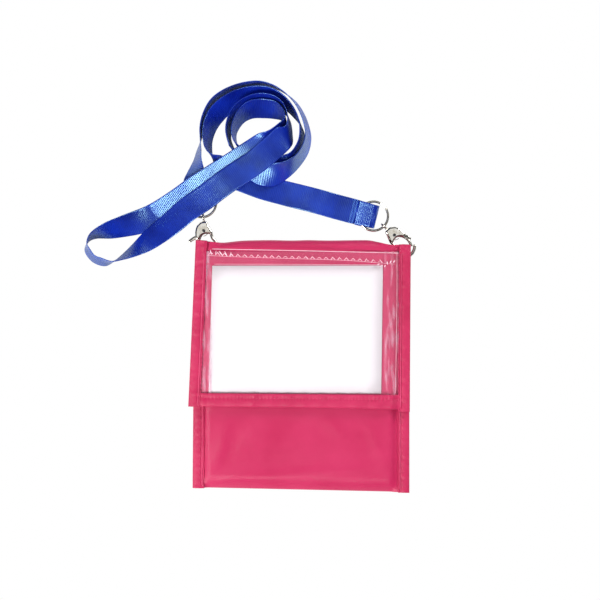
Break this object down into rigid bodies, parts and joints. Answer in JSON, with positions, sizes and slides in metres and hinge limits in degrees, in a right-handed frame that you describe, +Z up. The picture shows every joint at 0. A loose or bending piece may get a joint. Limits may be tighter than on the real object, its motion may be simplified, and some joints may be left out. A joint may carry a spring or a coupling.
{
  "type": "neck wallet",
  "caption": "Flat fabric pouch with a clear window flap over a blank card, clipped by lobster claws to a flat woven neck strap laid in a coil.",
  "frame": {"origin": "middle of the wallet's underside, on the surface it lies on, without the strap and its claws", "axes": "+X to the wallet's right, +Y from its bottom edge to its folded top edge, +Z up out of the window"},
  "size_m": [0.1996, 0.2443, 0.0177],
  "materials": {
    "pink_fabric": "coated fabric, soft sheen",
    "pink_tape": "woven edge tape",
    "clear_film": "clear soft film",
    "white_card": "blank matt card",
    "pad_fabric": "hook and loop pile",
    "blue_strap": "finely ribbed woven strap",
    "nickel": "nickel plate"
  },
  "bodies": {
    "pouch": {"back_panel": "pink_fabric", "pouch_front": "pink_fabric", "pouch_binding_left": "pink_tape", "pouch_binding_right": "pink_tape", "closure_loop_pad": "pad_fabric", "top_fold": "pink_fabric", "flap_corner_left": "pink_fabric", "flap_corner_right": "pink_fabric", "hook_loop_left": "pink_tape", "hook_loop_right": "pink_tape", "strap_lead_left": "blue_strap", "strap_coil_left": "blue_strap", "strap_bight": "blue_strap", "strap_coil_right": "blue_strap", "strap_lead_right": "blue_strap", "ring_left": "nickel", "ring_right": "nickel", "swivel_eye_left": "nickel", "swivel_eye_right": "nickel"},
    "flap": {"flap_panel": "pink_fabric", "window_film": "clear_film", "film_hem": "clear_film", "flap_binding_left": "pink_tape", "flap_binding_right": "pink_tape", "flap_bottom_band": "pink_tape", "closure_hook_pad": "pad_fabric"},
    "card": {"insert_card": "white_card"},
    "left_claw": {"hook_body_left": "nickel", "rivet_left": "nickel", "trigger_spring_left": "nickel"},
    "right_claw": {"hook_body_right": "nickel", "rivet_right": "nickel", "trigger_spring_right": "nickel"},
    "left_trigger": {"trigger_left": "nickel"},
    "right_trigger": {"trigger_right": "nickel"}
  },
  "joints": [
    {"name": "flap_fold", "type": "hinge", "parent": "pouch", "child": "flap", "pos_m": [0, 0.0685, 0.0073], "axis": [-1, 0, 0], "range_deg": [0, 150], "deforming": ["top_fold", "flap_corner_left", "flap_corner_right"]},
    {"name": "card_slide", "type": "slide", "parent": "flap", "child": "card", "axis": [0, 1, 0], "range_m": [0, 0.008]},
    {"name": "left_swivel", "type": "hinge", "parent": "pouch", "child": "left_claw", "pos_m": [-0.0578, 0.0889, 0.0027], "axis": [0.108, -0.9942, 0], "range_deg": [-8, 8]},
    {"name": "right_swivel", "type": "hinge", "parent": "pouch", "child": "right_claw", "pos_m": [0.0507, 0.0834, 0.0027], "axis": [0.7145, -0.6997, 0], "range_deg": [-8, 8]},
    {"name": "left_trigger_hinge", "type": "hinge", "parent": "left_claw", "child": "left_trigger", "pos_m": [-0.05741, 0.08069, 0.0027], "axis": [0, 0, 1], "range_deg": [0, 6], "stiffness_Nm_per_rad": 0.03, "springref_deg": -17.19, "deforming": ["trigger_spring_left"]},
    {"name": "right_trigger_hinge", "type": "hinge", "parent": "right_claw", "child": "right_trigger", "pos_m": [0.05691, 0.07802, 0.0027], "axis": [0, 0, -1], "range_deg": [0, 9], "stiffness_Nm_per_rad": 0.03, "springref_deg": -17.19, "deforming": ["trigger_spring_right"]}
  ]
}
